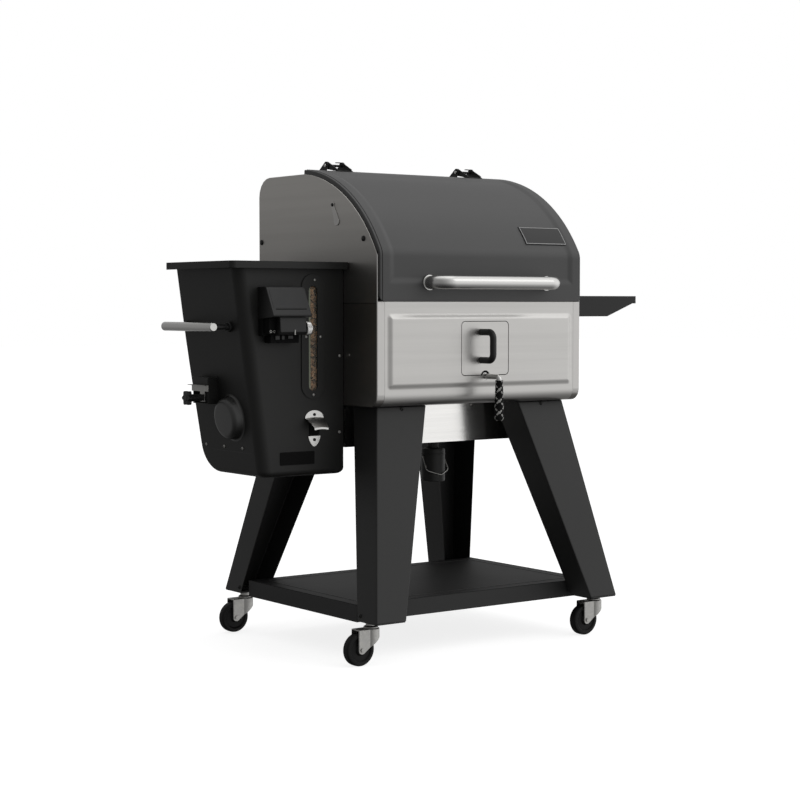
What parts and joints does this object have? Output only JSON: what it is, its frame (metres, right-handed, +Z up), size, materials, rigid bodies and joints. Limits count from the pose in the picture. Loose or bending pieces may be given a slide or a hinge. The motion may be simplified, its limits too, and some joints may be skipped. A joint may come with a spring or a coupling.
{
  "type": "pellet smoker grill",
  "caption": "Wheeled wood-pellet smoker grill: curved-lid cook box on splayed legs, side pellet hopper with control unit, smoke drawer, side shelf and bottom shelf.",
  "frame": {"origin": "under the middle of the overall box, on the ground", "axes": "+X to the cook's right, -Y towards the cook, +Z up"},
  "size_m": [1.297, 0.6974, 1.2325],
  "materials": {
    "stainless": "horizontal brushed stainless steel",
    "side_steel": "satin brown-grey brushed steel",
    "lid_paint": "satin charcoal powder coat",
    "black_paint": "fine satin black powder coat",
    "shelf_paint": "satin dark grey powder coat",
    "enamel": "baked black enamel",
    "cast_iron": "raw cast iron",
    "polished": "polished stainless steel",
    "plastic": "satin black moulded plastic",
    "cord": "woven black cord with a thin grey tracer",
    "clear": "clear sight strip",
    "wood": "pressed wood pellets",
    "zinc": "bright zinc plate",
    "wheel_rubber": "black caster wheel"
  },
  "bodies": {
    "cart": {"auger_motor": "plastic", "auger_tube": "stainless", "back_panel": "stainless", "base_skirt": "stainless", "bottle_opener": "stainless", "bottom_shelf": "black_paint", "control_housing": "plastic", "drip_tray": "enamel", "fire_pot": "cast_iron", "floor_panel": "enamel", "front_panel": "stainless", "heat_deflector": "enamel", "hinge_base_left": "black_paint", "hinge_base_right": "black_paint", "hopper_handle": "polished", "hopper_shell": "black_paint", "leg_front_left": "black_paint", "leg_front_right": "black_paint", "leg_rear_left": "black_paint", "leg_rear_right": "black_paint", "lower_grate": "enamel", "pellets": "wood", "purge_chute": "black_paint", "side_panel_left": "side_steel", "side_panel_right": "side_steel", "side_shelf": "shelf_paint", "smoke_box": "enamel", "upper_rack": "polished", "window_frame": "black_paint", "window_pane": "clear"},
    "lid": {"lid_shell": "lid_paint", "lid_handle": "polished", "lid_badge": "black_paint", "hinge_leaf_left": "black_paint", "hinge_leaf_right": "black_paint"},
    "hopper_lid": {"hopper_lid": "black_paint"},
    "smoke_drawer": {"drawer_door": "stainless", "drawer_box": "enamel", "drawer_handle": "plastic"},
    "lever": {"valve_shaft": "polished", "lever_grip": "cord", "valve_plate": "stainless"},
    "purge_gate": {"purge_plate": "zinc"},
    "purge_knob": {"purge_knob": "plastic"},
    "dial": {"control_dial": "polished"},
    "probe_cover": {"probe_cover": "stainless"},
    "ash_cup": {"ash_cup": "black_paint"},
    "auger": {"auger_screw": "stainless"},
    "caster_front_left": {"caster_fork_front_left": "zinc", "caster_axle_front_left": "zinc"},
    "wheel_front_left": {"caster_wheel_front_left": "wheel_rubber"},
    "caster_front_right": {"caster_fork_front_right": "zinc", "caster_axle_front_right": "zinc"},
    "wheel_front_right": {"caster_wheel_front_right": "wheel_rubber"},
    "caster_rear_left": {"caster_fork_rear_left": "zinc", "caster_axle_rear_left": "zinc"},
    "wheel_rear_left": {"caster_wheel_rear_left": "wheel_rubber"},
    "caster_rear_right": {"caster_fork_rear_right": "zinc", "caster_axle_rear_right": "zinc"},
    "wheel_rear_right": {"caster_wheel_rear_right": "wheel_rubber"}
  },
  "joints": [
    {"name": "lid_hinge", "type": "hinge", "parent": "cart", "child": "lid", "pos_m": [0.0305, 0.08, 1.2225], "axis": [-1, 0, 0], "range_deg": [0, 85]},
    {"name": "hopper_lid_hinge", "type": "hinge", "parent": "cart", "child": "hopper_lid", "pos_m": [-0.4595, 0.171, 0.963], "axis": [-1, 0, 0], "range_deg": [0, 75]},
    {"name": "smoke_drawer_slide", "type": "slide", "parent": "cart", "child": "smoke_drawer", "axis": [0, -1, 0], "range_m": [0, 0.15]},
    {"name": "valve_turn", "type": "hinge", "parent": "cart", "child": "lever", "pos_m": [0.036, -0.267, 0.6853], "axis": [0, 1, 0], "range_deg": [0, 90]},
    {"name": "purge_gate_slide", "type": "slide", "parent": "cart", "child": "purge_gate", "axis": [-1, 0, 0], "range_m": [0, 0.018]},
    {"name": "purge_knob_turn", "type": "hinge", "parent": "purge_gate", "child": "purge_knob", "pos_m": [-0.5921, 0.056, 0.637], "axis": [-1, 0, 0], "continuous": true},
    {"name": "dial_turn", "type": "hinge", "parent": "cart", "child": "dial", "pos_m": [-0.4331, -0.1691, 0.808], "axis": [1, 0, 0], "continuous": true},
    {"name": "probe_cover_swing", "type": "hinge", "parent": "cart", "child": "probe_cover", "pos_m": [-0.2948, -0.0786, 1.112], "axis": [1, 0, 0], "range_deg": [-60, 60]},
    {"name": "ash_cup_pull", "type": "slide", "parent": "cart", "child": "ash_cup", "axis": [0, 0, -1], "range_m": [0, 0.1]},
    {"name": "auger_turn", "type": "hinge", "parent": "cart", "child": "auger", "pos_m": [-0.2295, -0.015, 0.572], "axis": [1, 0, 0], "continuous": true},
    {"name": "swivel_front_left", "type": "hinge", "parent": "cart", "child": "caster_front_left", "pos_m": [-0.3293, -0.2887, 0.09], "axis": [0, 0, 1], "continuous": true},
    {"name": "roll_front_left", "type": "hinge", "parent": "caster_front_left", "child": "wheel_front_left", "pos_m": [-0.3653, -0.2887, 0.04], "axis": [0, 1, 0], "continuous": true},
    {"name": "swivel_front_right", "type": "hinge", "parent": "cart", "child": "caster_front_right", "pos_m": [0.3903, -0.2887, 0.09], "axis": [0, 0, 1], "continuous": true},
    {"name": "roll_front_right", "type": "hinge", "parent": "caster_front_right", "child": "wheel_front_right", "pos_m": [0.3543, -0.2887, 0.04], "axis": [0, 1, 0], "continuous": true},
    {"name": "swivel_rear_left", "type": "hinge", "parent": "cart", "child": "caster_rear_left", "pos_m": [-0.3293, 0.2887, 0.09], "axis": [0, 0, 1], "continuous": true},
    {"name": "roll_rear_left", "type": "hinge", "parent": "caster_rear_left", "child": "wheel_rear_left", "pos_m": [-0.3653, 0.2887, 0.04], "axis": [0, 1, 0], "continuous": true},
    {"name": "swivel_rear_right", "type": "hinge", "parent": "cart", "child": "caster_rear_right", "pos_m": [0.3903, 0.2887, 0.09], "axis": [0, 0, 1], "continuous": true},
    {"name": "roll_rear_right", "type": "hinge", "parent": "caster_rear_right", "child": "wheel_rear_right", "pos_m": [0.3543, 0.2887, 0.04], "axis": [0, 1, 0], "continuous": true}
  ]
}
